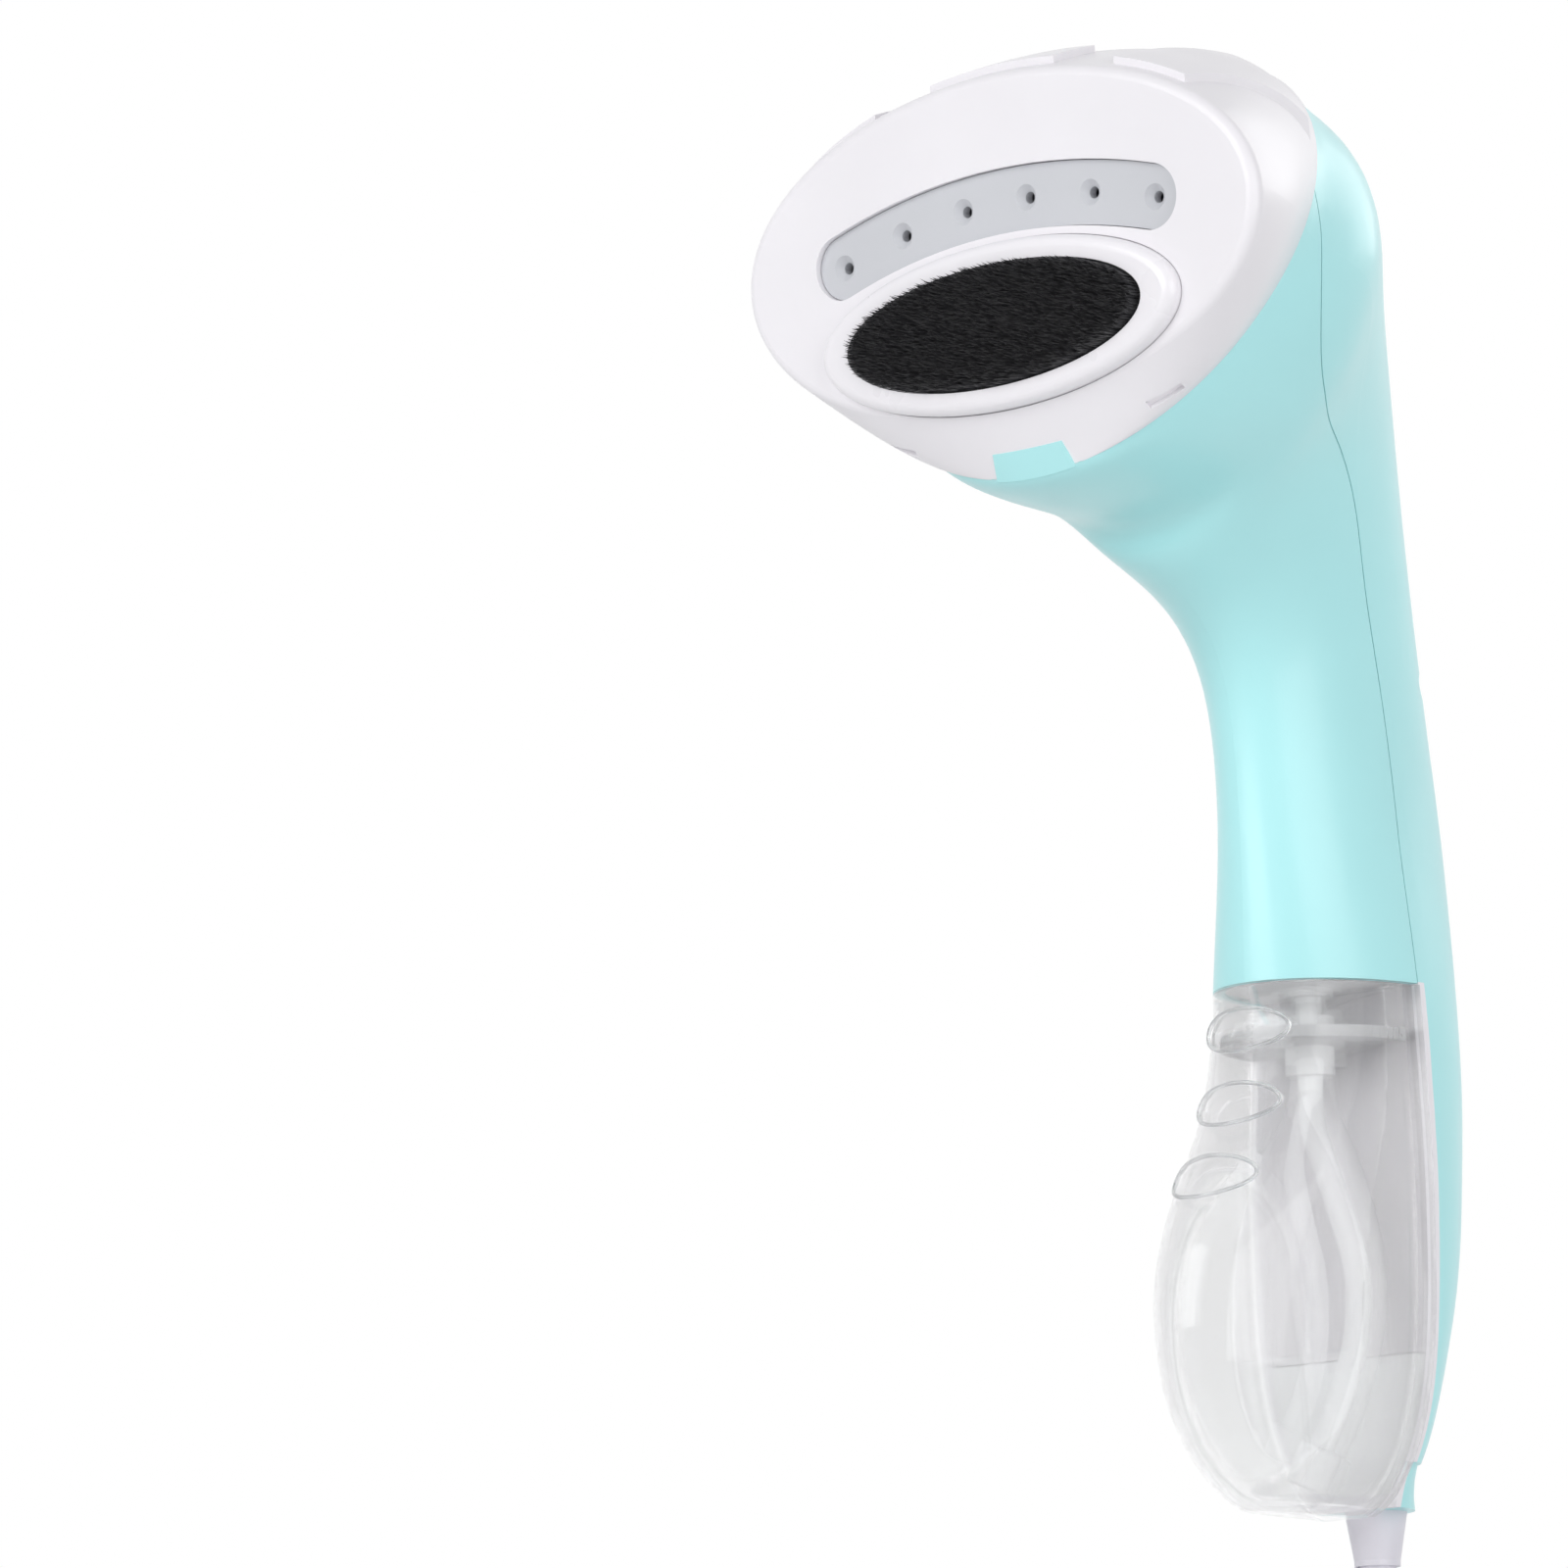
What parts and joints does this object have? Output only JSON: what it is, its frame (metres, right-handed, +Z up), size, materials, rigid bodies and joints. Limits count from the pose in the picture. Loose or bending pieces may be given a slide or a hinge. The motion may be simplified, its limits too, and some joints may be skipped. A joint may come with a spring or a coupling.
{
  "type": "handheld garment steamer",
  "caption": "Handheld garment steamer: an oval steam head with a lint pad, a curved moulded grip, a lift-off clear water tank, a power button and a wound cord with a plug.",
  "frame": {"origin": "middle of the hand grip", "axes": "+Z up along the grip to the head, -Y the way the steam face points, +X across"},
  "size_m": [0.1228, 0.1363, 0.4862],
  "materials": {
    "white_plastic": "gloss",
    "grey_plate": "satin",
    "silicone": "frosted",
    "frame_plastic": "satin",
    "pad_bristle": "short bristle",
    "boiler_metal": "cast",
    "steel": "plated",
    "ceramic_white": "matte",
    "aqua_plastic": "satin gloss",
    "copper_winding": "enamelled",
    "black_rubber": "matte",
    "black_plastic": "matte",
    "board": "satin",
    "lamp_lens": "gloss",
    "cord_sheath": "satin",
    "blade_metal": "plated",
    "clear_tank": "clear"
  },
  "bodies": {
    "housing": {"head_cover": "white_plastic", "steam_plate": "grey_plate", "steam_gasket": "silicone", "pad_frame": "frame_plastic", "bristle_pad": "pad_bristle", "boiler_cover": "boiler_metal", "boiler_block": "boiler_metal", "heater_terminals": "steel", "thermostat": "steel", "thermal_fuse": "ceramic_white", "boiler_screws": "steel", "front_shell": "aqua_plastic", "rear_shell": "aqua_plastic", "shell_screws": "steel", "dock_floor": "white_plastic", "dock_seal": "silicone", "bay_panel": "white_plastic", "pump_body": "white_plastic", "pump_coil": "copper_winding", "pump_bushes": "black_rubber", "inlet_hose": "silicone", "outlet_hose": "silicone", "switch_body": "black_plastic", "control_board": "board", "indicator_lens": "lamp_lens", "inner_lead": "cord_sheath", "strain_relief": "cord_sheath", "cord_lead": "cord_sheath", "cord_coil": "cord_sheath", "cord_tie": "black_rubber", "plug_body": "cord_sheath", "plug_blades": "blade_metal"},
    "tank": {"tank_bowl": "clear_tank", "tank_lid": "clear_tank", "tank_valve": "white_plastic", "pickup_hose": "silicone", "pickup_weight": "steel"},
    "filler": {"filler_plug": "silicone"},
    "button": {"power_button": "white_plastic"}
  },
  "joints": [
    {"name": "tank_slide", "type": "slide", "parent": "housing", "child": "tank", "axis": [0, 0, -1], "range_m": [0, 0.115]},
    {"name": "filler_lift", "type": "slide", "parent": "tank", "child": "filler", "axis": [0, 0, 1], "range_m": [0, 0.005]},
    {"name": "button_press", "type": "slide", "parent": "housing", "child": "button", "axis": [0, -0.9703, -0.2419], "range_m": [0, 0.0015], "stiffness_N_per_m": 800, "springref_m": -0.001}
  ]
}
